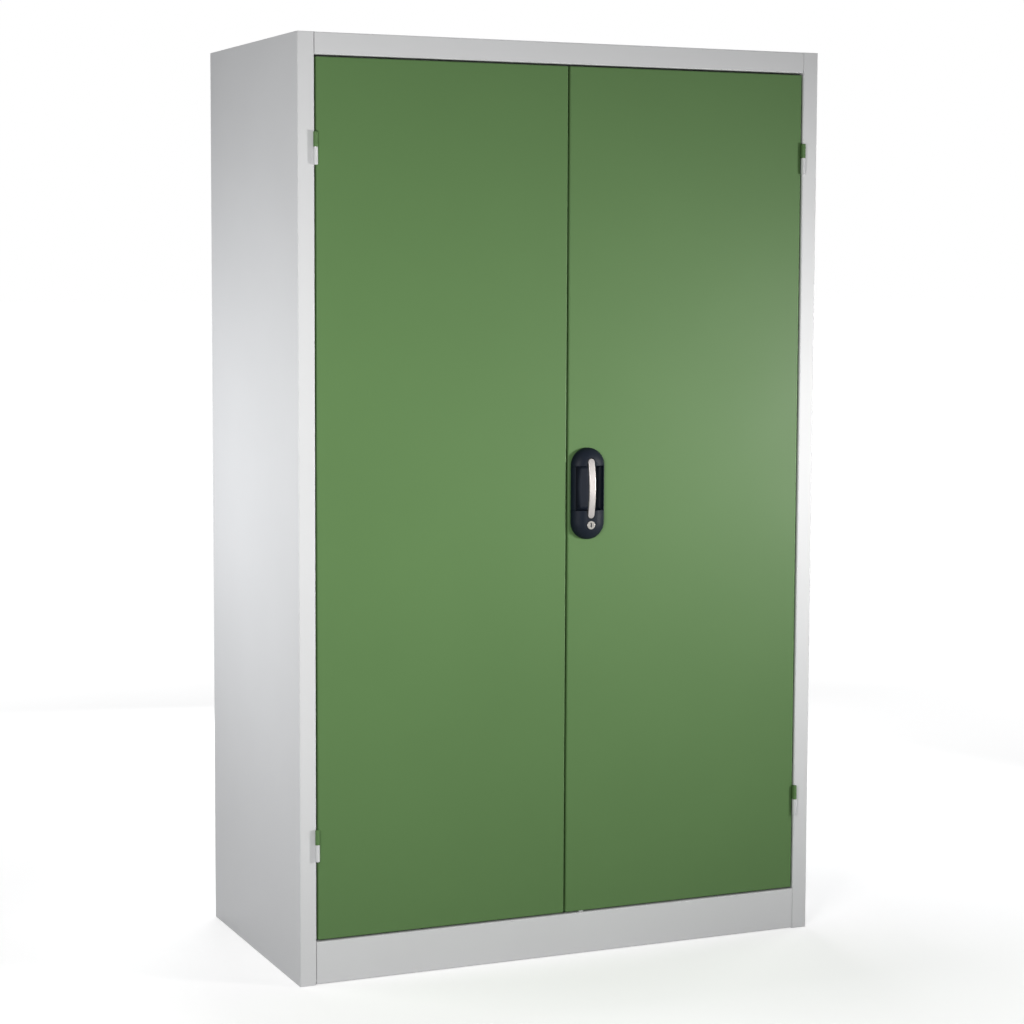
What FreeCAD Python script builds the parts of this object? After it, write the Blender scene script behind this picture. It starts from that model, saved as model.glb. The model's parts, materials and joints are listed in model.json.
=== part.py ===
import FreeCAD, Part
import math
import os
from FreeCAD import Vector

# Tool cabinet with two hinged doors, in millimetres.
# X runs to the right, Y from the front to the back and Z up.
# The origin is on the floor, under the middle of the carcass.

# Overall size of the carcass
cabinet_width = 1200.0
cabinet_depth = 600.0
cabinet_height = 1950.0

# Cuts run this far past the faces that they go through
overrun = 3.0
# Coordinates closer than this count as equal
near = 0.0001

# Welded carcass of folded sheet
carcass_sheet = 1.2
carcass_bend_inside = 1.3
back_sheet = 1.0
weld_seam = 0.3
post_width = 36.0
jamb_depth = 34.0
stop_width = 16.0
rear_flange_width = 25.0
base_flange_width = 25.0
side_flange_height = 25.0
top_rail_height = 45.0
top_stop_height = 14.0
floor_clearance = 1.5
plinth_height = 89.5
plinth_return = 18.0
floor_step = 12.0
back_rib_width = 60.0
back_rib_height = 5.0
back_rib_count = 3

# Perforated uprights, shelves and the clips that carry them
upright_width = 30.0
upright_depth = 10.0
upright_sheet = 1.2
upright_end_gap = 20.0
upright_inset = 95.0
slot_pitch = 50.0
slot_width = 14.0
slot_height = 4.0
shelf_count = 4
shelf_sheet = 1.2
shelf_lip = 28.0
shelf_return = 14.0
shelf_side_gap = 2.5
shelf_front_gap = 18.0
shelf_back_gap = 14.0
clip_sheet = 2.0
clip_width = 24.0
clip_ledge = 14.0
clip_leg = 18.0
clip_tongue_width = 12.0
clip_tongue_reach = 4.0

# Doors: folded pans that close flush with the front of the frame
door_sheet = 1.0
door_bend_inside = 1.6
door_depth = 30.0
door_return = 18.0
door_reveal = 3.75
door_centre_gap = 4.0
stiffener_width = 70.0
stiffener_depth = 18.0
stiffener_foot = 14.0
stiffener_bend_inside = 1.0
stiffener_end_gap = 6.0

# Lift-off hinges in the gap between door and post
hinge_barrel_radius = 4.75
hinge_standoff = 5.3
hinge_offset = 1.2
hinge_pin_radius = 3.0
hinge_pin_fit = 0.02
hinge_running_fit = 0.08
hinge_leaf_thickness = 1.5
hinge_leaf_reach = 16.0
hinge_door_length = 31.0
hinge_frame_length = 35.0
hinge_washer_thickness = 0.9
hinge_play = 0.1
hinge_cap = 3.0
hinge_end_round = 1.8
hinge_pin_chamfer = 0.6
lower_hinge_height = 260.5
upper_hinge_drop = 198.0

# Rubber buffers, door rest and the keepers of the rods
buffer_radius = 6.0
buffer_round = 1.5
touch_gap = 0.3
rest_width = 10.0
rest_depth = 8.0
rest_round = 1.0
rest_offset = 42.0
rest_setback = 6.0
buffer_height_shares = (0.12, 0.5, 0.88)
buffer_inset_share = 0.08
keeper_thickness = 2.5
keeper_width = 34.0
keeper_depth = 22.0
keeper_clearance = 1.2

# Pull handle on the right door
handle_offset = 44.0
handle_height = 1001.0
handle_length = 196.0
handle_width = 76.0
handle_base = 3.0
handle_rim_width = 5.5
handle_crown = 23.0
handle_flat = 12.0
recess_top = 60.0
recess_bottom = 35.0
hood_seam = 0.6
recess_round = 8.0
hood_wall = 2.5
hood_cavity = 8.5
hood_cavity_inset = 8.5
bow_length = 128.0
bow_width = 14.8
bow_thickness = 6.0
bow_rise = 8.5
bow_round = 1.8
bow_raise = 12.0
bow_seat_gap = 0.3
notch_clearance = 0.9
bow_foot_radius = 5.0
bow_foot_clearance = 0.3
bow_screw_radius = 2.5
bow_screw_grip = 9.0
screw_head_radius = 4.4
screw_head_height = 3.0
screw_hole_clearance = 0.25
screw_dome_share = 0.6
thread_fit = 0.05

# Lock cylinder, cam and case
lock_drop = 66.0
barrel_face_radius = 9.0
barrel_face_height = 1.2
barrel_radius = 8.0
barrel_tail = 8.0
barrel_hole_clearance = 0.15
core_radius = 5.2
core_fit = 0.06
core_recess = 0.3
core_tail_radius = 3.6
core_tail_fit = 0.05
keyway_height = 8.6
keyway_width = 3.0
keyway_depth = 9.0
nut_thickness = 5.0
nut_across_flats = 22.0
cam_radius = 13.6
cam_thickness = 2.5
cam_set_back = 15.5
cam_pin_circle = 10.0
cam_pin_radius = 2.0
cam_pin_clearance = 0.7
cam_screw_radius = 2.6
cam_screw_height = 0.7
cam_shank_radius = 1.4
cam_shank_length = 5.0
case_half_width = 24.5
case_half_height = 16.5
case_sheet = 1.5
case_tab = 13.0
case_tab_screw_radius = 1.6
case_tab_head_radius = 3.2
case_tab_head_height = 1.6
case_back_gap = 1.5
lock_turn = 90.0

# Locking rods, their guides and the centre bolt
rod_radius = 4.0
rod_tip_length = 7.0
rod_tip_radius = 2.6
rod_tip_inset = 0.2
rod_fork_thickness = 2.6
rod_fork_wall = 1.6
rod_stem_width = 6.0
rod_stem_cover = 3.0
rod_hole_clearance = 0.6
guide_fit = 0.1
guide_width = 22.0
guide_height = 12.0
guide_cover = 3.0
guide_round = 2.0
guide_end_inset = 60.0
bolt_thickness = 2.6
bolt_layer_gap = 0.6
bolt_height = 8.0
bolt_slot_clearance = 0.6
strike_thickness = 2.0
strike_height = 44.0
strike_depth = 14.0

# Places that follow from the sizes above
half_width = cabinet_width / 2
front_y = -cabinet_depth / 2
back_y = cabinet_depth / 2
wall_x = half_width - carcass_sheet
opening_x = half_width - post_width
stop_y = front_y + jamb_depth
roof_under = cabinet_height - carcass_sheet
rail_bottom = cabinet_height - top_rail_height
plinth_top = floor_clearance + plinth_height
floor_top = plinth_top + floor_step
inner_back_y = back_y - carcass_sheet - back_sheet - back_rib_height

door_outer_x = opening_x - door_reveal
door_inner_x = door_centre_gap / 2
door_bottom = plinth_top + door_reveal
door_top = rail_bottom - door_reveal
door_back_y = front_y + door_depth
door_skin_y = front_y + door_sheet
door_bend = door_bend_inside + door_sheet

hinge_x = opening_x - door_reveal / 2 + hinge_offset
hinge_y = front_y - hinge_standoff
hinge_total = hinge_frame_length + hinge_washer_thickness + hinge_play + hinge_door_length
hinge_levels = (lower_hinge_height, cabinet_height - upper_hinge_drop - hinge_total)

handle_x = door_inner_x + handle_offset
bow_z = handle_height + bow_raise
lock_z = handle_height - lock_drop
cam_front_y = door_skin_y + cam_set_back
cam_back_y = cam_front_y + cam_thickness
fork_y = cam_back_y + touch_gap * 2
rod_y = fork_y + rod_fork_thickness / 2
bolt_y = fork_y + rod_fork_thickness + bolt_layer_gap
cam_pin_swing = cam_pin_circle * math.sin(math.radians(lock_turn / 2))
cam_slot_near = cam_pin_swing - cam_pin_radius - cam_pin_clearance
cam_slot_far = cam_pin_circle + cam_pin_radius + cam_pin_clearance
stem_offset = cam_slot_far + rod_fork_wall + rod_stem_width / 2
top_rod_x = handle_x + stem_offset
bottom_rod_x = handle_x - stem_offset
bolt_z = lock_z + (cam_slot_near + cam_slot_far) / 2


# Helpers

def block(low, high):
    """A box between two opposite corners."""
    size = [b - a for a, b in zip(low, high)]
    return Part.makeBox(size[0], size[1], size[2], Vector(*low))


def mirrored(shape):
    """The same piece on the other side of the cabinet."""
    return shape.mirror(Vector(0, 0, 0), Vector(1, 0, 0))


def joined(shapes):
    """Several overlapping or touching solids as one."""
    return shapes[0].multiFuse(shapes[1:]).removeSplitter()


def in_profile_plane(u, v):
    """A profile seen from above."""
    return Vector(u, v, 0)


def in_side_plane(u, v):
    """A profile seen from the side: u is the depth and v the height."""
    return Vector(0, u, v)


def right_of(start, end):
    """The unit step to the right of the way from start to end."""
    way = (end - start).normalize()
    return Vector(way.y, -way.x, 0)


def rounded_edges(points, radii, place):
    """Straight runs through square corners, each corner an arc of its own radius."""
    middle_share = 1 - math.sqrt(0.5)
    edges = []
    last = points[0]
    for before, corner, after, radius in zip(points, points[1:], points[2:], radii):
        back = (before - corner).normalize() * radius
        on = (after - corner).normalize() * radius
        arc = [corner + back, corner + (back + on) * middle_share, corner + on]
        edges.append(Part.makeLine(place(last.x, last.y), place(arc[0].x, arc[0].y)))
        edges.append(Part.Arc(*[place(p.x, p.y) for p in arc]).toShape())
        last = arc[2]
    edges.append(Part.makeLine(place(last.x, last.y), place(points[-1].x, points[-1].y)))
    return edges


def folded_sheet(line, sheet, inside, place, run):
    """A folded sheet to the right of a line of square corners, drawn out along run."""
    points = [Vector(u, v, 0) for u, v in line]
    sides = [right_of(a, b) for a, b in zip(points, points[1:])]
    shifts = [sides[0]] + [a + b for a, b in zip(sides, sides[1:])] + [sides[-1]]
    offset = [p + s * sheet for p, s in zip(points, shifts)]
    turns_right = [a.cross(b).z < 0 for a, b in zip(sides, sides[1:])]
    near = [inside + sheet if right else inside for right in turns_right]
    far = [inside if right else inside + sheet for right in turns_right]
    edges = rounded_edges(points, near, place) + rounded_edges(offset, far, place)
    for a, b in ((points[0], offset[0]), (points[-1], offset[-1])):
        edges.append(Part.makeLine(place(a.x, a.y), place(b.x, b.y)))
    wire = Part.Wire(Part.__sortEdges__(edges))
    return Part.Face(wire).extrude(run)


def edges_at(shape, axis, value):
    """The edges of a shape that lie wholly at one value of x, y or z."""
    return [edge for edge in shape.Edges
            if all(abs(getattr(corner, axis.upper()) - value) < near for corner in edge.Vertexes)]


def rod_along(axis, start, radius, length):
    """A round bar from a start point along an axis."""
    return Part.makeCylinder(radius, length, start, axis)


def bored(x, z, radius, y_from, y_to):
    """A round bar along the depth, between two depths."""
    return rod_along(Vector(0, 1, 0), Vector(x, y_from, z), radius, y_to - y_from)


def stadium(centre_x, centre_z, length, width, y_from, y_to):
    """An upright slab with half-round ends, between two depths."""
    radius = width / 2
    reach = length / 2 - radius
    middle = block((centre_x - radius, y_from, centre_z - reach),
                   (centre_x + radius, y_to, centre_z + reach))
    ends = [bored(centre_x, centre_z + side * reach, radius, y_from, y_to) for side in (-1, 1)]
    return joined([middle] + ends)


# Carcass

def side_panel():
    """Right side wall with its front post, door stop, rear flange and base flange."""
    line = [(half_width - rear_flange_width, back_y), (half_width, back_y), (half_width, front_y),
            (opening_x, front_y), (opening_x, stop_y), (opening_x - stop_width, stop_y)]
    panel = folded_sheet(line, carcass_sheet, carcass_bend_inside, in_profile_plane,
                         Vector(0, 0, cabinet_height))
    foot = block((half_width - base_flange_width, front_y + carcass_sheet, 0),
                 (wall_x, back_y - carcass_sheet, carcass_sheet))
    under_roof = block((opening_x - stop_width - overrun, front_y + carcass_sheet, roof_under),
                       (wall_x, back_y - carcass_sheet, cabinet_height + overrun))
    return joined([panel, foot]).cut(under_roof)


def post_stop_room(bottom, top):
    """The room that the two posts' door stops take between two heights."""
    room = block((opening_x - stop_width - weld_seam, stop_y, bottom),
                 (opening_x + overrun, stop_y + carcass_sheet, top))
    return Part.makeCompound([room, mirrored(room)])


def back_panel():
    """Back sheet inside the rear flanges, with pressed upright ribs towards the inside."""
    outer_y = back_y - carcass_sheet
    inner_y = outer_y - back_sheet
    half = wall_x - carcass_bend_inside
    sheet = block((-half, inner_y, floor_clearance), (half, outer_y, roof_under))
    pitch = 2 * wall_x / (back_rib_count + 1)
    bottom = floor_top + base_flange_width
    top = roof_under - top_rail_height
    for index in range(back_rib_count):
        middle = -wall_x + pitch * (index + 1)
        left = middle - back_rib_width / 2
        right = middle + back_rib_width / 2
        rib = block((left, inner_y - back_rib_height, bottom), (right, inner_y, top))
        hollow = block((left + back_sheet, inner_y - back_rib_height + back_sheet, bottom + back_sheet),
                       (right - back_sheet, outer_y + overrun, top - back_sheet))
        sheet = sheet.fuse(rib).cut(hollow)
    return sheet.removeSplitter()


def top_panel():
    """Roof sheet with the front rail and its door stop, a rear lip and two side flanges."""
    line = [(stop_y, rail_bottom - top_stop_height), (stop_y, rail_bottom), (front_y, rail_bottom),
            (front_y, cabinet_height), (back_y - carcass_sheet, cabinet_height)]
    between_posts = opening_x - weld_seam
    rail = folded_sheet(line, carcass_sheet, carcass_bend_inside, in_side_plane,
                       Vector(2 * between_posts, 0, 0))
    rail.translate(Vector(-between_posts, 0, 0))
    lip_x = half_width - rear_flange_width - weld_seam
    rear_lip = block((-lip_x, back_y - carcass_sheet, cabinet_height - rear_flange_width),
                     (lip_x, back_y, cabinet_height))
    pieces = [rail, rear_lip]
    for side in (-1, 1):
        inner, outer = sorted((side * (between_posts - overrun), side * wall_x))
        pieces.append(block((inner, front_y + carcass_sheet, roof_under),
                            (outer, back_y - carcass_sheet, cabinet_height)))
        inner, outer = sorted((side * (wall_x - carcass_sheet), side * wall_x))
        pieces.append(block((inner, stop_y, roof_under - side_flange_height),
                            (outer, back_y - carcass_sheet - back_sheet, cabinet_height)))
    rod_hole = rod_along(Vector(0, 0, 1), Vector(top_rod_x, rod_y, rail_bottom - overrun),
                         rod_radius + keeper_clearance, overrun * 2)
    stops = post_stop_room(rail_bottom - top_stop_height - overrun, rail_bottom + carcass_sheet)
    return joined(pieces).cut(rod_hole).cut(stops)


def plinth():
    """Front plinth between the posts, folded back under the doors."""
    line = [(front_y + plinth_return, floor_clearance), (front_y, floor_clearance), (front_y, plinth_top),
            (stop_y + carcass_sheet, plinth_top)]
    between_posts = opening_x - weld_seam
    front = folded_sheet(line, carcass_sheet, carcass_bend_inside, in_side_plane,
                       Vector(2 * between_posts, 0, 0))
    front.translate(Vector(-between_posts, 0, 0))
    rod_hole = rod_along(Vector(0, 0, 1), Vector(bottom_rod_x, rod_y, plinth_top - overrun),
                         rod_radius + keeper_clearance, overrun * 2)
    return front.cut(rod_hole).cut(post_stop_room(floor_clearance, plinth_top + overrun))


def floor_panel():
    """Cabinet floor, a shallow tray upside down whose front lip stands on the plinth."""
    front = stop_y
    back = back_y - carcass_sheet - back_sheet
    half = wall_x - weld_seam
    outer = block((-half, front, plinth_top), (half, back, floor_top))
    hollow = block((-half + carcass_sheet, front + carcass_sheet, plinth_top - overrun),
                   (half - carcass_sheet, back - carcass_sheet, floor_top - carcass_sheet))
    post_room = block((opening_x - stop_width - weld_seam, front - overrun, plinth_top - overrun),
                      (wall_x + overrun, stop_y + carcass_sheet, floor_top + overrun))
    return outer.cut(hollow).cut(post_room).cut(mirrored(post_room))


# Uprights, shelves and clips

def upright_levels():
    """The heights of the lower edges of the slots in an upright."""
    first = floor_top + upright_end_gap
    last = roof_under - side_flange_height - upright_end_gap - slot_height
    count = int((last - first) / slot_pitch) + 1
    return [first + slot_pitch * index for index in range(count)]


def shelf_levels():
    """The slots that carry the shelves, spread evenly over the height."""
    levels = upright_levels()
    return [levels[round(len(levels) * number / (shelf_count + 1))]
            for number in range(1, shelf_count + 1)]


def upright_fronts():
    """The front edges of the two uprights on a side wall."""
    return (front_y + upright_inset, back_y - upright_inset - upright_width)


def side_uprights():
    """Two perforated channels on the right side wall."""
    face_x = wall_x - upright_depth
    height = roof_under - side_flange_height - upright_sheet - floor_top
    channels = []
    for start in upright_fronts():
        end = start + upright_width
        line = [(wall_x, start), (face_x, start), (face_x, end), (wall_x, end)]
        channel = folded_sheet(line, upright_sheet, carcass_bend_inside, in_profile_plane,
                               Vector(0, 0, height))
        channel.translate(Vector(0, 0, floor_top))
        middle = (start + end) / 2
        slots = [block((face_x - overrun, middle - slot_width / 2, level),
                       (face_x + overrun, middle + slot_width / 2, level + slot_height))
                 for level in upright_levels()]
        channels.append(channel.cut(Part.makeCompound(slots)))
    return channels


def shelf_clips(level):
    """Four hooked clips whose tongues stand in the slots at one level."""
    face_x = wall_x - upright_depth
    back_x = face_x + upright_sheet
    top = level + clip_sheet
    clips = []
    for start in upright_fronts():
        middle = start + upright_width / 2
        wide = (middle - clip_width / 2, middle + clip_width / 2)
        narrow = (middle - clip_tongue_width / 2, middle + clip_tongue_width / 2)
        ledge = block((face_x - clip_ledge, wide[0], level), (face_x, wide[1], top))
        leg = block((face_x - clip_sheet, wide[0], level - clip_leg), (face_x, wide[1], level))
        tongue = block((face_x - clip_sheet, narrow[0], level), (back_x + clip_tongue_reach, narrow[1], top))
        hook = block((back_x + touch_gap, narrow[0], level - clip_tongue_reach),
                     (back_x + clip_tongue_reach, narrow[1], level))
        clip = joined([ledge, leg, tongue, hook])
        clips += [clip, mirrored(clip)]
    return clips


def shelf(level):
    """A folded shelf with turned-down lips that stand on the clips at one level."""
    bottom = level + clip_sheet
    top = bottom + shelf_lip
    front = stop_y + carcass_sheet + shelf_front_gap
    back = inner_back_y - shelf_back_gap
    half = wall_x - upright_depth - shelf_side_gap
    line = [(front + shelf_return, bottom), (front, bottom), (front, top), (back, top), (back, bottom),
            (back - shelf_return, bottom)]
    tray = folded_sheet(line, shelf_sheet, carcass_bend_inside, in_side_plane, Vector(2 * half, 0, 0))
    tray.translate(Vector(-half, 0, 0))
    lips = []
    for outer, inner in ((-half, -half + shelf_sheet), (half - shelf_sheet, half)):
        lips.append(block((outer, front + shelf_sheet + shelf_sheet, bottom),
                          (inner, back - shelf_sheet - shelf_sheet, top - shelf_sheet)))
    return joined([tray] + lips)


# Doors

def pan_fillet(shape, radius):
    """Rounds the front edges and the four corners of a door pan."""
    lowest_y = shape.BoundBox.YMin
    edges = edges_at(shape, "y", lowest_y)
    edges += [e for e in shape.Edges if abs(e.Vertexes[0].Y - e.Vertexes[-1].Y) > near]
    return shape.makeFillet(radius, edges)


def door_pan():
    """The right door's folded pan: skin, four flanges and returns around the back."""
    low = (door_inner_x, front_y, door_bottom)
    high = (door_outer_x, door_back_y, door_top)
    outer = pan_fillet(block(low, high), door_bend)
    hollow = block((low[0] + door_sheet, door_skin_y, low[2] + door_sheet),
                   (high[0] - door_sheet, door_back_y + overrun, high[2] - door_sheet))
    pan = outer.cut(pan_fillet(hollow, door_bend_inside))
    returns = block((low[0] + door_sheet, door_back_y - door_sheet, low[2] + door_sheet),
                    (high[0] - door_sheet, door_back_y, high[2] - door_sheet))
    window = block((low[0] + door_return, low[1], low[2] + door_return),
                   (high[0] - door_return, high[1] + overrun, high[2] - door_return))
    return joined([pan, returns.cut(window)])


def door_stiffeners():
    """Two upright hat channels on the inside of the right door's skin."""
    bottom = door_bottom + door_sheet + stiffener_end_gap
    height = door_top - door_sheet - stiffener_end_gap - bottom
    pitch = (door_outer_x - door_inner_x) / 3
    hats = []
    for number in (1, 2):
        middle = door_inner_x + pitch * number
        left = middle - stiffener_width / 2
        right = middle + stiffener_width / 2
        crown = door_skin_y + stiffener_depth - door_sheet
        line = [(right + stiffener_foot, door_skin_y), (right, door_skin_y), (right, crown), (left, crown),
                (left, door_skin_y), (left - stiffener_foot, door_skin_y)]
        hat = folded_sheet(line, door_sheet, stiffener_bend_inside, in_profile_plane,
                           Vector(0, 0, height))
        hat.translate(Vector(0, 0, bottom))
        hats.append(hat)
    return hats


def right_door_skin():
    """The right door's pan with its openings for the handle, lock and rods."""
    cuts = [barrel_hole()]
    cuts.append(bow_foot_holes(bow_screw_radius + screw_hole_clearance, front_y - overrun,
                               door_skin_y + overrun))
    for centre_x in case_screw_places():
        cuts.append(bored(centre_x, lock_z, case_tab_screw_radius + screw_hole_clearance,
                          front_y - overrun, door_skin_y + overrun))
    for centre_x, centre_z in ((top_rod_x, door_top), (bottom_rod_x, door_bottom)):
        cuts.append(rod_along(Vector(0, 0, 1), Vector(centre_x, rod_y, centre_z - overrun),
                              rod_radius + rod_hole_clearance, overrun * 2))
    cuts.append(bolt_room(door_inner_x - overrun, door_inner_x + overrun))
    return door_pan().cut(Part.makeCompound(cuts))


def left_door_skin():
    """The left door's pan with the slot that takes the centre bolt."""
    return mirrored(door_pan()).cut(bolt_room(-door_inner_x - overrun, -door_inner_x + overrun))


def left_door_strike():
    """Plate behind the left door's free flange, around the bolt's slot."""
    outer_x = -door_inner_x - door_sheet
    back = door_back_y - door_sheet - touch_gap
    plate = block((outer_x - strike_thickness, back - strike_depth, bolt_z - strike_height / 2),
                  (outer_x, back, bolt_z + strike_height / 2))
    return plate.cut(bolt_room(outer_x - overrun, outer_x + overrun))


# Hinges

def knuckle(bottom, length, leaf_x, bore_radius, bore_from, rounded_end):
    """One hinge barrel with its leaf and a blind bore for the pin."""
    top = bottom + length
    barrel = rod_along(Vector(0, 0, 1), Vector(hinge_x, hinge_y, bottom), hinge_barrel_radius, length)
    barrel = barrel.makeFillet(hinge_end_round, edges_at(barrel, "z", rounded_end))
    leaf = block((leaf_x, hinge_y, bottom),
                 (leaf_x + hinge_leaf_thickness, front_y + hinge_leaf_reach, top))
    bore = rod_along(Vector(0, 0, 1), Vector(hinge_x, hinge_y, bore_from), bore_radius, length - hinge_cap)
    return joined([barrel, leaf]).cut(bore)


def frame_knuckles():
    """The lower knuckles of the right side's hinges, welded to the post."""
    return [knuckle(level, hinge_frame_length, opening_x - hinge_leaf_thickness,
                    hinge_pin_radius + hinge_pin_fit, level + hinge_cap, level) for level in hinge_levels]


def door_knuckles():
    """The upper knuckles of the right side's hinges, welded to the door."""
    lift = hinge_frame_length + hinge_washer_thickness + hinge_play
    return [knuckle(level + lift, hinge_door_length, door_outer_x, hinge_pin_radius + hinge_running_fit,
                    level + lift, level + lift + hinge_door_length) for level in hinge_levels]


def hinge_pins():
    """Pins that stand in the frame's knuckles and carry the door's."""
    length = hinge_total - 2 * hinge_cap - hinge_play
    pins = []
    for level in hinge_levels:
        foot = Vector(hinge_x, hinge_y, level + hinge_cap)
        pin = rod_along(Vector(0, 0, 1), foot, hinge_pin_radius, length)
        pin = pin.makeChamfer(hinge_pin_chamfer, edges_at(pin, "z", level + hinge_cap + length))
        pins += [pin, mirrored(pin)]
    return pins


def hinge_washers():
    """Washers between the lower and the upper knuckles."""
    washers = []
    for level in hinge_levels:
        foot = Vector(hinge_x, hinge_y, level + hinge_frame_length)
        disc = rod_along(Vector(0, 0, 1), foot, hinge_barrel_radius, hinge_washer_thickness)
        washer = disc.cut(rod_along(Vector(0, 0, 1), foot, hinge_pin_radius + hinge_running_fit,
                                    hinge_washer_thickness + overrun))
        washers += [washer, mirrored(washer)]
    return washers


# Buffers, door rest and keepers

def door_buffers():
    """Rubber discs on the door stops that the closed doors rest against."""
    height = stop_y - door_back_y - touch_gap
    side_x = opening_x - stop_width / 2
    top_z = rail_bottom - top_stop_height + buffer_radius
    door_height = door_top - door_bottom
    places = [(side_x, door_bottom + door_height * share) for share in buffer_height_shares]
    places.append((door_inner_x + door_return + side_x * buffer_inset_share, top_z))
    discs = []
    for centre_x, centre_z in places:
        disc = bored(centre_x, centre_z, buffer_radius, stop_y - height, stop_y)
        disc = disc.makeFillet(buffer_round, edges_at(disc, "y", stop_y - height))
        discs += [disc, mirrored(disc)]
    return discs


def door_rest():
    """Small run-up block on the plinth under the right door's free corner."""
    front = front_y + rest_setback
    pad = block((rest_offset - rest_width / 2, front, plinth_top),
                (rest_offset + rest_width / 2, front + rest_depth, door_bottom - touch_gap))
    return pad.makeFillet(rest_round, edges_at(pad, "z", door_bottom - touch_gap))


def keeper(centre_x, bottom):
    """Plate with a hole that takes the end of a locking rod."""
    plate = block((centre_x - keeper_width / 2, rod_y - keeper_depth / 2, bottom),
                  (centre_x + keeper_width / 2, rod_y + keeper_depth / 2, bottom + keeper_thickness))
    return plate.cut(rod_along(Vector(0, 0, 1), Vector(centre_x, rod_y, bottom - overrun),
                               rod_radius + keeper_clearance, keeper_thickness + overrun * 2))


# Pull handle

def bow_foot_levels():
    """The heights of the two feet under the bow's ends."""
    reach = bow_length / 2 - bow_width / 2
    return (bow_z - reach, bow_z + reach)


def handle_block(inset, y_from, y_to):
    """The handle's outline, drawn in by an inset, between two depths."""
    return stadium(handle_x, handle_height, handle_length - 2 * inset, handle_width - 2 * inset,
                   y_from, y_to)


def half_crown(side):
    """One half of the handle's cross-section: flat along its middle, then a quarter ellipse to the edge."""
    top, foot = front_y - handle_crown, front_y - handle_base
    edge = Vector(handle_x + side * handle_width / 2, foot, 0)
    centre = Vector(handle_x + side * handle_flat, foot, 0)
    shoulder = Vector(centre.x, top, 0)
    slope = Part.ArcOfEllipse(Part.Ellipse(edge, shoulder, centre), 0, math.pi / 2).toShape()
    rest = Part.makePolygon([shoulder, Vector(handle_x, top, 0), Vector(handle_x, foot, 0), edge])
    return Part.Face(Part.Wire([slope] + rest.Edges))


def handle_dome():
    """The handle's raised body: a prism of its cross-section with turned ends."""
    reach = handle_length / 2 - handle_width / 2
    solids = []
    for side in (-1, 1):
        half = half_crown(side).extrude(Vector(0, 0, 2 * reach))
        half.translate(Vector(0, 0, handle_height - reach))
        end = half_crown(1).revolve(Vector(handle_x, 0, 0), Vector(0, 1, 0), 360)
        end.translate(Vector(0, 0, handle_height + side * reach))
        solids += [half, end]
    return joined(solids)


def finger_recess():
    """The room for the fingers between the hoods, with a cove around its floor."""
    half = handle_width / 2 - handle_rim_width
    floor_y = front_y - handle_base
    room = block((handle_x - half, front_y - handle_crown - overrun, handle_height - recess_bottom),
                 (handle_x + half, floor_y, handle_height + recess_top))
    return room.makeFillet(recess_round, edges_at(room, "y", floor_y))


def bow_foot_holes(radius, y_from, y_to):
    """Round holes in line with the bow's feet."""
    return Part.makeCompound([bored(handle_x, level, radius, y_from, y_to) for level in bow_foot_levels()])


def barrel_hole():
    """The way of the lock cylinder through the hood, the housing and the skin."""
    return bored(handle_x, lock_z, barrel_radius + barrel_hole_clearance,
                 front_y - handle_crown - overrun, door_skin_y + overrun)


def case_screw_places():
    """The places of the screws in the ears of the lock case."""
    reach = case_half_width + case_tab / 2
    return (handle_x - reach, handle_x + reach)


def handle_housing():
    """Moulded base with the side rims and the finger recess between the hoods."""
    base = handle_block(0, front_y - handle_base, front_y)
    crown_y = front_y - handle_crown
    between_hoods = block((handle_x - handle_width, crown_y - overrun,
                           handle_height - recess_bottom + hood_seam),
                          (handle_x + handle_width, front_y, handle_height + recess_top - hood_seam))
    shell = joined([base, handle_dome().common(between_hoods)]).cut(finger_recess())
    screws = bow_foot_holes(bow_screw_radius + screw_hole_clearance, crown_y, front_y + overrun)
    pilots = [bored(centre_x, lock_z, case_tab_screw_radius, front_y - handle_base, front_y)
              for centre_x in case_screw_places()]
    return shell.cut(Part.makeCompound([screws, barrel_hole()] + pilots))


def handle_hood(low_z, high_z, inner_low_z, inner_high_z):
    """One domed cap of the handle, hollow below the seat of the bow."""
    crown_y = front_y - handle_crown
    base_y = front_y - handle_base
    reach = handle_width
    cap = handle_dome().common(block((handle_x - reach, crown_y - overrun, low_z),
                                     (handle_x + reach, base_y, high_z)))
    cavity = handle_block(hood_cavity_inset, base_y - hood_cavity, base_y + overrun)
    cap = cap.cut(cavity.common(block((handle_x - reach, crown_y, inner_low_z),
                                      (handle_x + reach, base_y + overrun, inner_high_z))))
    notch = stadium(handle_x, bow_z, bow_length + 2 * notch_clearance, bow_width + 2 * notch_clearance,
                    crown_y - overrun, crown_y + bow_thickness + bow_seat_gap)
    feet = bow_foot_holes(bow_foot_radius + bow_foot_clearance, crown_y, base_y + overrun)
    return cap.cut(notch).cut(Part.makeCompound([feet, barrel_hole()]))


def handle_upper_hood():
    """Cap above the finger recess."""
    edge = handle_height + recess_top
    end = handle_height + handle_length / 2
    return handle_hood(edge, end, edge + hood_wall, end)


def handle_lower_hood():
    """Cap below the finger recess, which carries the lock cylinder."""
    edge = handle_height - recess_bottom
    end = handle_height - handle_length / 2
    return handle_hood(end, edge, end, edge - hood_wall)


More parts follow.
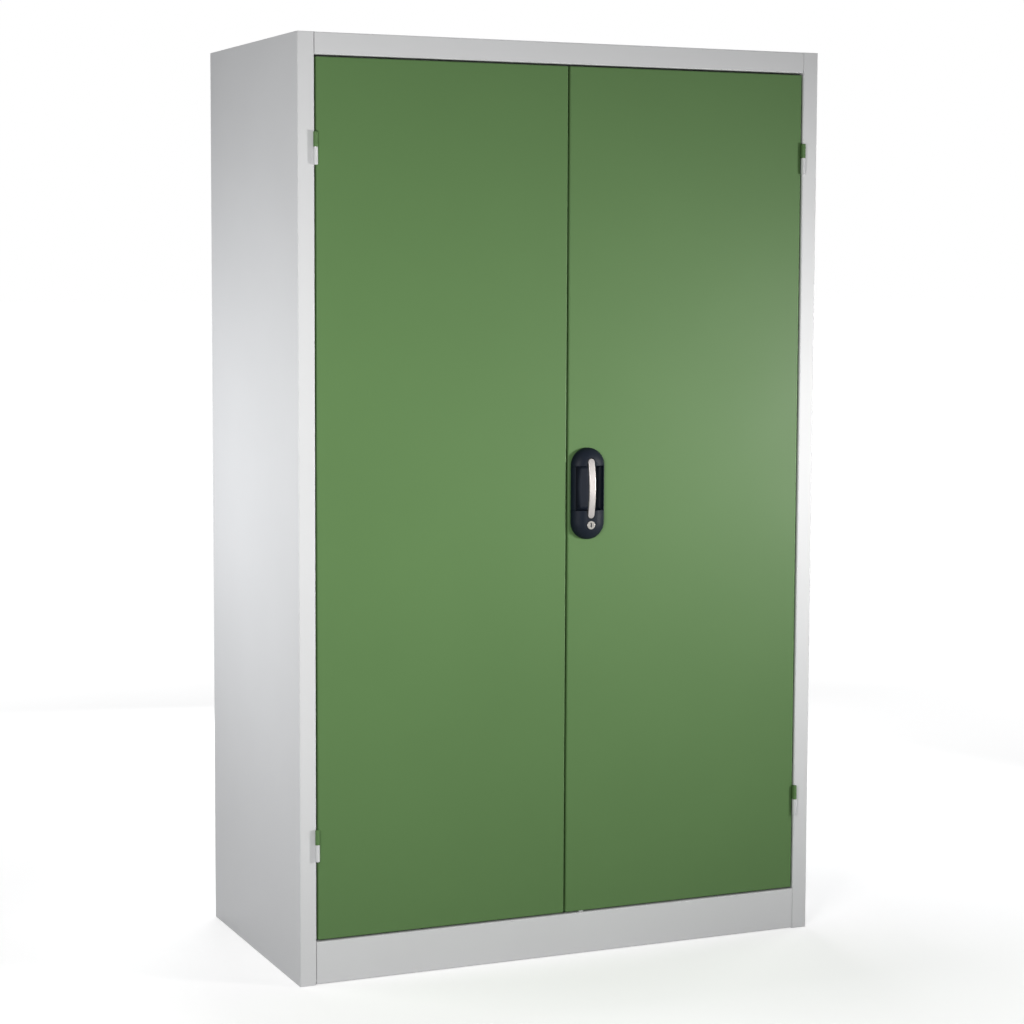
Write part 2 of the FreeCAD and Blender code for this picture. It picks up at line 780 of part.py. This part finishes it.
def pull_bow():
    """Curved grip bar with rounded ends and a foot under each end."""
    half = bow_length / 2
    radius = (half * half + bow_rise * bow_rise) / (2 * bow_rise)
    crest_y = front_y - handle_crown - bow_rise
    start = Vector(handle_x - bow_width, crest_y + radius, bow_z)
    outer = rod_along(Vector(1, 0, 0), start, radius, 2 * bow_width)
    inner = rod_along(Vector(1, 0, 0), start, radius - bow_thickness, 2 * bow_width)
    outline = stadium(handle_x, bow_z, bow_length, bow_width, crest_y - overrun,
                      front_y - handle_crown + bow_thickness + overrun)
    bar = outer.cut(inner).common(outline)
    bar = bar.makeFillet(bow_round, bar.Edges)
    base_y = front_y - handle_base
    feet = [rod_along(Vector(0, -1, 0), Vector(handle_x, base_y, level), bow_foot_radius,
                      handle_crown - handle_base - bow_thickness / 2) for level in bow_foot_levels()]
    bores = bow_foot_holes(bow_screw_radius + thread_fit, base_y - bow_screw_grip, base_y + overrun)
    return joined([bar] + feet).cut(bores)


def screw(x, z, head_y, head_radius, head_height, shank_radius, tip_y):
    """A screw with a domed head, driven towards the front."""
    head = bored(x, z, head_radius, head_y, head_y + head_height)
    head = head.makeFillet(head_height * screw_dome_share, edges_at(head, "y", head_y + head_height))
    shank = bored(x, z, shank_radius, tip_y, head_y)
    return joined([head, shank])


def bow_screws():
    """Screws from inside the door into the feet of the bow."""
    tip_y = front_y - handle_base - bow_screw_grip + touch_gap
    return [screw(handle_x, level, door_skin_y, screw_head_radius, screw_head_height,
                  bow_screw_radius, tip_y) for level in bow_foot_levels()]


# Lock

def lock_cylinder():
    """Barrel with its face on the lower hood and a bore for the key core."""
    crown_y = front_y - handle_crown
    end_y = door_skin_y + barrel_tail
    front = crown_y - barrel_face_height
    face = bored(handle_x, lock_z, barrel_face_radius, front, crown_y)
    face = face.makeFillet(barrel_face_height / 2, edges_at(face, "y", front))
    body = bored(handle_x, lock_z, barrel_radius, crown_y, end_y)
    bore = bored(handle_x, lock_z, core_radius + core_fit, front - overrun, end_y + overrun)
    return joined([face, body]).cut(bore)


def cylinder_nut():
    """Hexagon nut that clamps the lock cylinder behind the skin."""
    radius = nut_across_flats / 2 / math.cos(math.radians(30))
    corners = [Vector(handle_x + radius * math.cos(math.radians(60 * k)), door_skin_y,
                      lock_z + radius * math.sin(math.radians(60 * k))) for k in range(6)]
    nut = Part.Face(Part.makePolygon(corners + corners[:1])).extrude(Vector(0, nut_thickness, 0))
    return nut.cut(bored(handle_x, lock_z, barrel_radius + thread_fit, door_skin_y - overrun,
                         door_skin_y + nut_thickness + overrun))


def key_core():
    """Turning core with the keyway in its face and a tail that carries the cam."""
    front = front_y - handle_crown - barrel_face_height + core_recess
    end_y = door_skin_y + barrel_tail
    core = bored(handle_x, lock_z, core_radius, front, end_y)
    tail = bored(handle_x, lock_z, core_tail_radius, end_y, cam_back_y)
    keyway = block((handle_x - keyway_width / 2, front - overrun, lock_z - keyway_height / 2),
                   (handle_x + keyway_width / 2, front + keyway_depth, lock_z + keyway_height / 2))
    bore = bored(handle_x, lock_z, cam_shank_radius + thread_fit,
                 cam_back_y - cam_shank_length - touch_gap, cam_back_y + overrun)
    return joined([core, tail]).cut(keyway).cut(bore)


def cam_point(angle_deg):
    """A point on the circle of the cam's pins, as x and z."""
    angle = math.radians(angle_deg)
    return (handle_x + cam_pin_circle * math.cos(angle), lock_z + cam_pin_circle * math.sin(angle))


def lock_cam():
    """Disc on the core's tail with one pin for each rod and one for the bolt."""
    disc = bored(handle_x, lock_z, cam_radius, cam_front_y, cam_back_y)
    disc = disc.cut(bored(handle_x, lock_z, core_tail_radius + core_tail_fit, cam_front_y - overrun,
                          cam_back_y + overrun))
    half_turn = lock_turn / 2
    rod_pin_end = fork_y + rod_fork_thickness
    pins = []
    for angle, end_y in ((-half_turn, rod_pin_end), (180 - half_turn, rod_pin_end),
                         (half_turn, bolt_y + bolt_thickness)):
        x, z = cam_point(angle)
        pins.append(bored(x, z, cam_pin_radius, cam_front_y, end_y))
    return joined([disc] + pins)


def cam_screw():
    """Flat screw that holds the cam on the core's tail."""
    head = bored(handle_x, lock_z, cam_screw_radius, cam_back_y, cam_back_y + cam_screw_height)
    shank = bored(handle_x, lock_z, cam_shank_radius, cam_back_y - cam_shank_length, cam_back_y)
    return joined([head, shank])


def bolt_room(x_from, x_to):
    """The way of the centre bolt through a sheet."""
    gap = bolt_slot_clearance
    return block((x_from, bolt_y - gap, bolt_z - bolt_height / 2 - gap),
                 (x_to, bolt_y + bolt_thickness + gap, bolt_z + bolt_height / 2 + gap))


def lock_case():
    """Sheet case over the cam, open to the skin, with two screwed ears."""
    back = door_back_y - case_back_gap
    shell = block((handle_x - case_half_width, door_skin_y, lock_z - case_half_height),
                  (handle_x + case_half_width, back, lock_z + case_half_height))
    room = block((handle_x - case_half_width + case_sheet, door_skin_y - overrun,
                  lock_z - case_half_height + case_sheet),
                 (handle_x + case_half_width - case_sheet, back - case_sheet,
                  lock_z + case_half_height - case_sheet))
    ears = block((handle_x - case_half_width - case_tab, door_skin_y, lock_z - case_tab / 2),
                 (handle_x + case_half_width + case_tab, door_skin_y + case_sheet, lock_z + case_tab / 2))
    case = joined([shell, ears]).cut(room)
    cuts = [bolt_room(handle_x - case_half_width - overrun, handle_x - case_half_width + overrun)]
    half_stem = rod_stem_width / 2 + rod_hole_clearance
    for centre_x, side in ((top_rod_x, 1), (bottom_rod_x, -1)):
        low, high = sorted((lock_z + side * (case_half_height - case_sheet - touch_gap),
                            lock_z + side * (case_half_height + overrun)))
        cuts.append(block((centre_x - half_stem, fork_y - rod_hole_clearance, low),
                          (centre_x + half_stem, fork_y + rod_fork_thickness + rod_hole_clearance, high)))
    for centre_x in case_screw_places():
        cuts.append(bored(centre_x, lock_z, case_tab_screw_radius + screw_hole_clearance,
                          door_skin_y - overrun, door_skin_y + case_sheet + overrun))
    return case.cut(Part.makeCompound(cuts))


def case_screws():
    """Screws through the ears and the skin into the handle's housing."""
    head_y = door_skin_y + case_sheet
    tip_y = front_y - handle_base + touch_gap
    return [screw(x, lock_z, head_y, case_tab_head_radius, case_tab_head_height,
                  case_tab_screw_radius - thread_fit, tip_y) for x in case_screw_places()]


def locking_rod(side, centre_x, tip_z):
    """A rod with its slotted end on the cam's pin: side is 1 for the top rod, -1 for the bottom."""
    pin_z = lock_z - side * cam_pin_swing
    half_slot = cam_pin_radius + cam_pin_clearance
    half_plate = half_slot + rod_fork_wall
    fork_end = fork_y + rod_fork_thickness
    xs = sorted((handle_x + side * (cam_slot_near - rod_fork_wall), centre_x + side * rod_stem_width / 2))
    plate = block((xs[0], fork_y, pin_z - half_plate), (xs[1], fork_end, pin_z + half_plate))
    slot_xs = sorted((handle_x + side * cam_slot_near, handle_x + side * cam_slot_far))
    slot = block((slot_xs[0], fork_y - overrun, pin_z - half_slot),
                 (slot_xs[1], fork_end + overrun, pin_z + half_slot))
    rod_start = lock_z + side * (case_half_height + rod_stem_cover)
    zs = sorted((pin_z, rod_start + side * rod_stem_cover))
    stem = block((centre_x - rod_stem_width / 2, fork_y, zs[0]),
                 (centre_x + rod_stem_width / 2, fork_end, zs[1]))
    way = Vector(0, 0, side)
    length = abs(tip_z - rod_start) - rod_tip_length
    bar = rod_along(way, Vector(centre_x, rod_y, rod_start), rod_radius, length)
    tip = Part.makeCone(rod_radius, rod_tip_radius, rod_tip_length,
                        Vector(centre_x, rod_y, tip_z - side * rod_tip_length), way)
    return joined([plate.cut(slot), stem, bar, tip])


def centre_bolt():
    """Flat bolt that reaches behind the left door's edge when the key locks."""
    pin_x, pin_z = cam_point(lock_turn / 2)
    half_slot = cam_pin_radius + cam_pin_clearance
    half_plate = half_slot + rod_fork_wall
    back = bolt_y + bolt_thickness
    plate = block((pin_x - half_plate, bolt_y, lock_z + cam_slot_near - rod_fork_wall),
                  (pin_x + half_plate, back, lock_z + cam_slot_far + rod_fork_wall))
    bar = block((door_inner_x + door_sheet / 2, bolt_y, bolt_z - bolt_height / 2),
                (pin_x, back, bolt_z + bolt_height / 2))
    slot = block((pin_x - half_slot, bolt_y - overrun, lock_z + cam_slot_near),
                 (pin_x + half_slot, back + overrun, lock_z + cam_slot_far))
    return joined([plate, bar]).cut(slot)


def rod_guides():
    """Guide blocks on the skin, two for each rod."""
    reach = rod_y + rod_radius + guide_cover
    guides = []
    for centre_x, end_z, handle_end in ((top_rod_x, door_top, handle_height + handle_length / 2),
                                        (bottom_rod_x, door_bottom, handle_height - handle_length / 2)):
        inset = math.copysign(guide_end_inset, end_z - handle_end)
        for centre_z in (end_z - inset, (end_z + handle_end) / 2):
            low = centre_z - guide_height / 2
            guide = block((centre_x - guide_width / 2, door_skin_y, low),
                          (centre_x + guide_width / 2, reach, low + guide_height))
            guide = guide.makeFillet(guide_round, [e for e in edges_at(guide, "y", reach)
                                                   if abs(e.Vertexes[0].Z - e.Vertexes[-1].Z) > guide_round])
            guides.append(guide.cut(rod_along(Vector(0, 0, 1), Vector(centre_x, rod_y, low - overrun),
                                              rod_radius + guide_fit, guide_height + 2 * overrun)))
    return guides


# Nodes

def pieces():
    """Every node's name with the solids that it holds."""
    right_wall = side_panel()
    left_wall = mirrored(right_wall)
    uprights = side_uprights()
    right_stiffeners = door_stiffeners()
    right_frame = frame_knuckles()
    right_door = door_knuckles()
    made = {
        "left_side_panel": [left_wall],
        "right_side_panel": [right_wall],
        "back_panel": [back_panel()],
        "top_panel": [top_panel().cut(right_wall).cut(left_wall)],
        "floor_panel": [floor_panel()],
        "plinth": [plinth().cut(right_wall).cut(left_wall)],
        "left_shelf_uprights": [mirrored(channel) for channel in uprights],
        "right_shelf_uprights": uprights,
        "left_frame_hinges": [mirrored(piece) for piece in right_frame],
        "right_frame_hinges": right_frame,
        "hinge_pins": hinge_pins(),
        "hinge_washers": hinge_washers(),
        "door_buffers": door_buffers(),
        "door_rest": [door_rest()],
        "top_rod_keeper": [keeper(top_rod_x, rail_bottom + carcass_sheet)],
        "bottom_rod_keeper": [keeper(bottom_rod_x, plinth_top - carcass_sheet - keeper_thickness)],
        "left_door_skin": [left_door_skin()],
        "right_door_skin": [right_door_skin()],
        "left_door_hinges": [mirrored(piece) for piece in right_door],
        "right_door_hinges": right_door,
        "left_door_strike": [left_door_strike()],
        "handle_housing": [handle_housing()],
        "handle_upper_hood": [handle_upper_hood()],
        "handle_lower_hood": [handle_lower_hood()],
        "pull_bow": [pull_bow()],
        "bow_screws": bow_screws(),
        "lock_cylinder": [lock_cylinder()],
        "cylinder_nut": [cylinder_nut()],
        "lock_case": [lock_case()],
        "case_screws": case_screws(),
        "rod_guides": rod_guides(),
        "key_core": [key_core()],
        "lock_cam": [lock_cam()],
        "cam_screw": [cam_screw()],
        "top_rod": [locking_rod(1, top_rod_x, door_top - rod_tip_inset)],
        "bottom_rod": [locking_rod(-1, bottom_rod_x, door_bottom + rod_tip_inset)],
        "centre_bolt": [centre_bolt()],
    }
    for number, stiffener in enumerate(right_stiffeners, 1):
        made[f"right_door_stiffener_{number}"] = [stiffener]
        made[f"left_door_stiffener_{number}"] = [mirrored(stiffener)]
    for number, level in enumerate(shelf_levels(), 1):
        made[f"shelf_{number}"] = [shelf(level)]
        made[f"shelf_{number}_clips"] = shelf_clips(level)
    return made


os.makedirs("parts", exist_ok=True)
for name, solids in pieces().items():
    shape = solids[0] if len(solids) == 1 else Part.makeCompound(solids)
    shape.exportStep(f"parts/{name}.step")
    sound = all(solid.isValid() and solid.Volume > 0 for solid in solids)
    count = sum(len(solid.Solids) for solid in solids)
    print(name, "solids", count, "of", len(solids), "valid", sound)
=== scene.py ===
import json
import math

import bmesh
import bpy
from mathutils import Matrix, Vector


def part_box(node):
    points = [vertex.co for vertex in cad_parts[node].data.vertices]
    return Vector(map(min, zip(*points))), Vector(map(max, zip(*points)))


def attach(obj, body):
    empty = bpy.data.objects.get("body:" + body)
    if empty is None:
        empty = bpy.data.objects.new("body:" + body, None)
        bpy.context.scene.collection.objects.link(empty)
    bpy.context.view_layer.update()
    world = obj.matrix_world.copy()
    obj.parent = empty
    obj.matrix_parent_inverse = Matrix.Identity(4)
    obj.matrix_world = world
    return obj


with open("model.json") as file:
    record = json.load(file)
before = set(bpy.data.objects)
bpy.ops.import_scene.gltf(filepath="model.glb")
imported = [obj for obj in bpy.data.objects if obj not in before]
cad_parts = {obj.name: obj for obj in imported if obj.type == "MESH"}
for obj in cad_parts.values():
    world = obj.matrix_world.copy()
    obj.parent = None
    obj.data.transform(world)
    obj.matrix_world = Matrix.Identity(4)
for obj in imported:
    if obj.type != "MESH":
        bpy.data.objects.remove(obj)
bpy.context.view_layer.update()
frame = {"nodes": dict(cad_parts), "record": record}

# Camera fitted to the carcass's corners in the photograph, with its sensor in millimetres
FRAME_PIXELS = 1024
FOCAL_PIXELS = 2456.0
SHIFT_PIXELS = -40.0
SENSOR_WIDTH = 36.0
CAMERA_PLACE = Vector((-2.194, -5.011, 1.493))
CAMERA_YAW = math.radians(23.68)
CAMERA_PITCH = math.radians(-4.90)
CAMERA_ROLL = math.radians(0.23)
CAMERA_REACH = 100.0

# Colours of the surfaces as they show, in sRGB steps from 0 to 255
SRGB_STEPS = 255
OPAQUE = (1.0,)
GREY_PAINT = (208, 209, 211)
INNER_PAINT = (205, 206, 208)
GREEN_PAINT = (88, 120, 73)
BLACK_PLASTIC = (14, 21, 32)
SILVER = (172, 167, 165)
NICKEL = (146, 143, 139)
ZINC_PLATE = (192, 193, 190)
GALVANISED = (196, 199, 202)
RUBBER = (24, 24, 24)
FLOOR_PAPER = (220, 220, 220)

# The part of its range from 0 to 1 that noise mostly fills
NOISE_LOW = 0.3
NOISE_HIGH = 0.7

# Rays that feel out an edge to round its shading
EDGE_SAMPLES = 4

# The keyway, and a dark plate set in it that paints the slot's shade, in metres
KEYWAY_WIDTH = 0.0030
KEYWAY_HEIGHT = 0.0086
SHADE_PLATE_FIT = 0.00005
SHADE_PLATE_DEPTH = 0.0004
SHADE_PLATE_THICKNESS = 0.0008
SHADE_PLATE_ROUND = 0.0002
SHADE_PLATE_SEGMENTS = 3

# Colours of light, as linear shares
WHITE = (1.0, 1.0, 1.0)
WARM_WHITE = (1.0, 0.99, 0.97)
COOL_WHITE = (0.98, 0.99, 1.0)
SKY_WHITE = (0.95, 0.97, 1.0)
SKY_STRENGTH = 0.10

# The floor's size, and the glow that lifts it to white away from the cabinet, in metres and strengths
FLOOR_HALF_SIZE = 80.0
GLOW_START = 0.9
GLOW_END = 3.6
GLOW_NEAR = 0.52
GLOW_FAR = 0.95

# Square soft boxes: places and sides in metres, power in watts, beam in degrees
FULL_BEAM = 180.0
LAMPS = {
    "key": {"place": (2.45, -2.45, 0.98), "target": (0.0, -0.3, 1.06), "side": 0.4, "power": 9.2,
            "colour": WARM_WHITE, "beam": 55.0},
    "left": {"place": (-1.7, -2.35, 1.3), "target": (-0.6, -0.3, 1.0), "side": 0.9, "power": 23.2,
             "colour": WARM_WHITE, "beam": 130.0},
    "left_side": {"place": (-1.5, 0.3, 1.05), "target": (-0.6, 0.0, 1.05), "side": 0.6, "power": 4.6,
                  "colour": COOL_WHITE, "beam": 140.0},
    "right_side": {"place": (2.2, 0.6, 1.1), "target": (0.6, 0.1, 1.0), "side": 0.8, "power": 12.0,
                   "colour": COOL_WHITE, "beam": FULL_BEAM},
    "back": {"place": (0.6, 2.6, 1.3), "target": (0.0, 0.3, 1.0), "side": 1.4, "power": 36.0,
             "colour": WHITE, "beam": FULL_BEAM},
    "top": {"place": (0.0, 0.5, 4.2), "target": (0.0, 0.05, 1.95), "side": 0.8, "power": 5.0,
            "colour": WHITE, "beam": 60.0},
}


def linear(colour):
    """sRGB steps as the linear colour that Blender works in."""
    values = [step / SRGB_STEPS for step in colour]
    return tuple(v / 12.92 if v <= 0.04045 else ((v + 0.055) / 1.055) ** 2.4 for v in values) + OPAQUE


# Materials

class Look:
    """A material's node tree around one Principled shader."""

    def __init__(self, name, colour, roughness, metallic=0.0):
        self.material = bpy.data.materials.new(name)
        self.material.use_nodes = True
        self.nodes = self.material.node_tree.nodes
        self.links = self.material.node_tree.links
        self.shader = self.nodes["Principled BSDF"]
        self.colour = linear(colour)
        self.roughness = roughness
        self.shader.inputs["Base Color"].default_value = self.colour
        self.shader.inputs["Roughness"].default_value = roughness
        self.shader.inputs["Metallic"].default_value = metallic
        self.relief = None
        self.place = self.nodes.new("ShaderNodeTexCoord").outputs["Object"]

    def stretched(self, scale):
        """Object coordinates stretched by a scale for each axis."""
        mapping = self.nodes.new("ShaderNodeMapping")
        mapping.inputs["Scale"].default_value = scale
        self.links.new(self.place, mapping.inputs["Vector"])
        return mapping.outputs["Vector"]

    def noise(self, per_metre, detail, mix=0.5, place=None):
        """Soft noise with so many cells to the metre."""
        node = self.nodes.new("ShaderNodeTexNoise")
        node.inputs["Scale"].default_value = per_metre
        node.inputs["Detail"].default_value = detail
        node.inputs["Roughness"].default_value = mix
        self.links.new(place or self.place, node.inputs["Vector"])
        return node.outputs["Fac"]

    def crystals(self, per_metre):
        """One random grey for each grain of a crystal pattern."""
        node = self.nodes.new("ShaderNodeTexVoronoi")
        node.inputs["Scale"].default_value = per_metre
        self.links.new(self.place, node.inputs["Vector"])
        return node.outputs["Color"]

    def ranged(self, value, start, end, low, high):
        """A value whose range from start to end becomes that from low to high."""
        node = self.nodes.new("ShaderNodeMapRange")
        node.inputs["From Min"].default_value = start
        node.inputs["From Max"].default_value = end
        node.inputs["To Min"].default_value = low
        node.inputs["To Max"].default_value = high
        self.links.new(value, node.inputs["Value"])
        return node.outputs["Result"]

    def vary_colour(self, value, darkest, lightest):
        """Base colour between two shares of the written colour."""
        ramp = self.nodes.new("ShaderNodeValToRGB")
        stops = zip(ramp.color_ramp.elements, (NOISE_LOW, NOISE_HIGH), (darkest, lightest))
        for element, position, share in stops:
            element.position = position
            element.color = tuple(c * share for c in self.colour[:3]) + OPAQUE
        self.links.new(value, ramp.inputs["Fac"])
        self.links.new(ramp.outputs["Color"], self.shader.inputs["Base Color"])

    def vary_roughness(self, value, smoother, rougher):
        """Roughness that follows a value to either side of the written one."""
        low, high = self.roughness - smoother, self.roughness + rougher
        self.links.new(self.ranged(value, NOISE_LOW, NOISE_HIGH, low, high), self.shader.inputs["Roughness"])

    def soften_edges(self, radius):
        """Rounds the shading of sharp edges."""
        node = self.nodes.new("ShaderNodeBevel")
        node.samples = EDGE_SAMPLES
        node.inputs["Radius"].default_value = radius
        self.relief = node.outputs["Normal"]
        self.links.new(self.relief, self.shader.inputs["Normal"])

    def emboss(self, value, strength, depth):
        """Fine relief, stacked on any that is there."""
        node = self.nodes.new("ShaderNodeBump")
        node.inputs["Strength"].default_value = strength
        node.inputs["Distance"].default_value = depth
        self.links.new(value, node.inputs["Height"])
        if self.relief:
            self.links.new(self.relief, node.inputs["Normal"])
        self.relief = node.outputs["Normal"]
        self.links.new(self.relief, self.shader.inputs["Normal"])

    def set_gloss(self, level):
        """How much the clear surface reflects."""
        self.shader.inputs["Specular IOR Level"].default_value = level


def powder_coat(name, colour, roughness, gloss, edge):
    """Powder-coated sheet: fine orange peel, slight waves in the sheet and faint clouds in the tone."""
    look = Look(name, colour, roughness)
    look.soften_edges(edge)
    look.vary_colour(look.noise(per_metre=2.2, detail=4.0), darkest=0.97, lightest=1.02)
    look.vary_roughness(look.noise(per_metre=5.0, detail=1.0), smoother=0.015, rougher=0.02)
    look.emboss(look.noise(per_metre=3.5, detail=1.0), strength=0.10, depth=0.0008)
    look.emboss(look.noise(per_metre=420.0, detail=2.0), strength=0.22, depth=0.00006)
    look.set_gloss(gloss)
    return look.material


def moulded_plastic(name, colour, roughness, gloss, edge):
    """Moulded plastic with a fine spark-eroded grain."""
    look = Look(name, colour, roughness)
    look.soften_edges(edge)
    look.vary_colour(look.noise(per_metre=60.0, detail=4.0), darkest=0.9, lightest=1.12)
    look.vary_roughness(look.noise(per_metre=90.0, detail=3.0), smoother=0.05, rougher=0.06)
    look.emboss(look.noise(per_metre=1800.0, detail=2.0), strength=0.3, depth=0.00004)
    look.set_gloss(gloss)
    return look.material


def satin_metal(name, colour, roughness, metallic, grain, stretch):
    """Bare or plated metal with a grain of so many cells to the metre, drawn out by its stretch."""
    look = Look(name, colour, roughness, metallic)
    look.soften_edges(radius=0.0003)
    lines = look.noise(per_metre=grain, detail=3.0, mix=0.6, place=look.stretched(stretch))
    look.vary_colour(look.noise(per_metre=25.0, detail=4.0), darkest=0.93, lightest=1.04)
    look.vary_roughness(lines, smoother=0.07, rougher=0.08)
    look.emboss(lines, strength=0.12, depth=0.00003)
    return look.material


def galvanised(name, colour, roughness):
    """Hot-dip zinc: crystals of different brightness with soft borders."""
    look = Look(name, colour, roughness, metallic=0.85)
    look.soften_edges(radius=0.0005)
    grains = look.crystals(per_metre=70.0)
    look.vary_colour(grains, darkest=0.86, lightest=1.04)
    look.vary_roughness(grains, smoother=0.08, rougher=0.08)
    look.emboss(look.noise(per_metre=500.0, detail=2.0), strength=0.12, depth=0.00003)
    return look.material


def dull_rubber(name, colour, roughness):
    """Dull rubber with a dusty bloom."""
    look = Look(name, colour, roughness)
    look.vary_colour(look.noise(per_metre=300.0, detail=4.0), darkest=0.8, lightest=1.6)
    look.vary_roughness(look.noise(per_metre=200.0, detail=3.0), smoother=0.10, rougher=0.10)
    look.emboss(look.noise(per_metre=1500.0, detail=2.0), strength=0.3, depth=0.00005)
    return look.material


def dress_nodes(looks):
    """Gives every CAD node the look of its material slot."""
    for row in frame["record"]["subparts"]:
        shape = frame["nodes"][row["node"]]
        shape.data.materials.clear()
        shape.data.materials.append(looks[row["material_slot"]])


def add_mesh(name, shape, material):
    """A new object from a finished bmesh."""
    mesh = bpy.data.meshes.new(name)
    shape.to_mesh(mesh)
    shape.free()
    thing = bpy.data.objects.new(name, mesh)
    bpy.context.scene.collection.objects.link(thing)
    thing.data.materials.append(material)
    return thing


def make_keyway_shade_plate(look):
    """Dark plate with rounded edges just behind the core's face, which paints the shade in the deep keyway.
    """
    low, high = (Vector(corner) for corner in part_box("key_core"))
    centre = (low + high) / 2
    half = Vector((KEYWAY_WIDTH / 2 - SHADE_PLATE_FIT, SHADE_PLATE_THICKNESS / 2, KEYWAY_HEIGHT / 2 - SHADE_PLATE_FIT))
    centre.y = low.y + SHADE_PLATE_DEPTH + half.y
    shape = bmesh.new()
    bmesh.ops.create_cube(shape, size=2.0)
    for point in shape.verts:
        point.co = centre + Vector(a * b for a, b in zip(point.co, half))
    bmesh.ops.bevel(shape, geom=shape.edges[:], offset=SHADE_PLATE_ROUND, segments=SHADE_PLATE_SEGMENTS,
                    affect="EDGES")
    shade_plate = add_mesh("keyway_shade_plate", shape, look)
    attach(shade_plate, "key_cam")


# Stage, light and camera

def seen_rays(tree):
    """One where a thing is seen, also in a mirror or through glass, and zero where it only lights."""
    path = tree.nodes.new("ShaderNodeLightPath")
    total = path.outputs["Is Camera Ray"]
    for name in ("Is Glossy Ray", "Is Transmission Ray"):
        node = tree.nodes.new("ShaderNodeMath")
        node.operation = "MAXIMUM"
        tree.links.new(total, node.inputs[0])
        tree.links.new(path.outputs[name], node.inputs[1])
        total = node.outputs[0]
    return total


def make_world():
    """Even, slightly cool light all round, which shows as plain white."""
    world = bpy.data.worlds.new("studio")
    bpy.context.scene.world = world
    world.use_nodes = True
    tree = world.node_tree
    tree.nodes.clear()
    mix = tree.nodes.new("ShaderNodeMixShader")
    tree.links.new(seen_rays(tree), mix.inputs[0])
    for socket, colour, strength in ((mix.inputs[1], SKY_WHITE, SKY_STRENGTH), (mix.inputs[2], WHITE, 1.0)):
        background = tree.nodes.new("ShaderNodeBackground")
        background.inputs["Color"].default_value = colour + OPAQUE
        background.inputs["Strength"].default_value = strength
        tree.links.new(background.outputs[0], socket)
    out = tree.nodes.new("ShaderNodeOutputWorld")
    tree.links.new(mix.outputs[0], out.inputs[0])


def make_floor():
    """Pale floor that keeps the cabinet's shadow and shows as plain white away from it."""
    look = Look("floor_paper", FLOOR_PAPER, roughness=0.9)
    look.set_gloss(0.0)
    look.shader.inputs["Emission Color"].default_value = WHITE + OPAQUE
    distance = look.nodes.new("ShaderNodeVectorMath")
    distance.operation = "LENGTH"
    look.links.new(look.place, distance.inputs[0])
    glow = look.ranged(distance.outputs["Value"], GLOW_START, GLOW_END, GLOW_NEAR, GLOW_FAR)
    seen_glow = look.nodes.new("ShaderNodeMath")
    seen_glow.operation = "MULTIPLY"
    look.links.new(seen_rays(look.material.node_tree), seen_glow.inputs[0])
    look.links.new(glow, seen_glow.inputs[1])
    look.links.new(seen_glow.outputs[0], look.shader.inputs["Emission Strength"])
    shape = bmesh.new()
    bmesh.ops.create_grid(shape, x_segments=1, y_segments=1, size=FLOOR_HALF_SIZE)
    add_mesh("floor", shape, look.material)


def make_lamp(name, place, target, side, power, colour, beam):
    """A square soft box that faces a target."""
    data = bpy.data.lights.new(name, "AREA")
    data.shape = "SQUARE"
    data.size = side
    data.energy = power
    data.color = colour
    data.spread = math.radians(beam)
    lamp = bpy.data.objects.new(name, data)
    lamp.visible_camera = False
    lamp.location = place
    lamp.rotation_euler = (Vector(target) - Vector(place)).to_track_quat("-Z", "Y").to_euler()
    bpy.context.scene.collection.objects.link(lamp)


def make_camera():
    """The photograph's view."""
    right = Vector((math.cos(CAMERA_YAW), -math.sin(CAMERA_YAW), 0.0))
    ahead = Vector((math.sin(CAMERA_YAW) * math.cos(CAMERA_PITCH),
                    math.cos(CAMERA_YAW) * math.cos(CAMERA_PITCH), math.sin(CAMERA_PITCH)))
    up = right.cross(ahead)
    rolled_right = right * math.cos(CAMERA_ROLL) + up * math.sin(CAMERA_ROLL)
    rolled_up = up * math.cos(CAMERA_ROLL) - right * math.sin(CAMERA_ROLL)
    turn = Matrix((rolled_right, rolled_up, -ahead)).transposed()
    data = bpy.data.cameras.new("camera")
    data.sensor_width = SENSOR_WIDTH
    data.sensor_fit = "HORIZONTAL"
    data.lens = FOCAL_PIXELS / FRAME_PIXELS * SENSOR_WIDTH
    data.shift_y = SHIFT_PIXELS / FRAME_PIXELS
    data.clip_end = CAMERA_REACH
    camera = bpy.data.objects.new("camera", data)
    camera.matrix_world = Matrix.Translation(CAMERA_PLACE) @ turn.to_4x4()
    bpy.context.scene.collection.objects.link(camera)
    bpy.context.scene.camera = camera


looks = {
    "frame_paint": powder_coat("grey_powder_coat", GREY_PAINT, roughness=0.42, gloss=0.4, edge=0.0015),
    "interior_paint": powder_coat("inner_powder_coat", INNER_PAINT, roughness=0.45, gloss=0.4, edge=0.0015),
    "door_paint": powder_coat("green_powder_coat", GREEN_PAINT, roughness=0.40, gloss=0.16, edge=0.0025),
    "shelf_zinc": galvanised("galvanised_sheet", GALVANISED, roughness=0.38),
    "plated_steel": satin_metal("zinc_plate", ZINC_PLATE, roughness=0.33, metallic=1.0, grain=900.0,
                                stretch=(1.0, 1.0, 0.08)),
    "buffer_rubber": dull_rubber("black_rubber", RUBBER, roughness=0.75),
    "handle_plastic": moulded_plastic("black_plastic", BLACK_PLASTIC, roughness=0.50, gloss=0.125,
                                      edge=0.0012),
    "bow_metal": satin_metal("satin_silver", SILVER, roughness=0.34, metallic=0.7, grain=1200.0,
                             stretch=(1.0, 1.0, 0.05)),
    "lock_metal": satin_metal("satin_nickel", NICKEL, roughness=0.28, metallic=1.0, grain=900.0,
                              stretch=(1.0, 1.0, 1.0)),
}
dress_nodes(looks)
# A dark plate paints the shade inside the keyway
make_keyway_shade_plate(looks["handle_plastic"])

make_world()
make_floor()
for name, lamp in LAMPS.items():
    make_lamp(name, **lamp)
make_camera()
bpy.context.scene.view_settings.view_transform = "Standard"
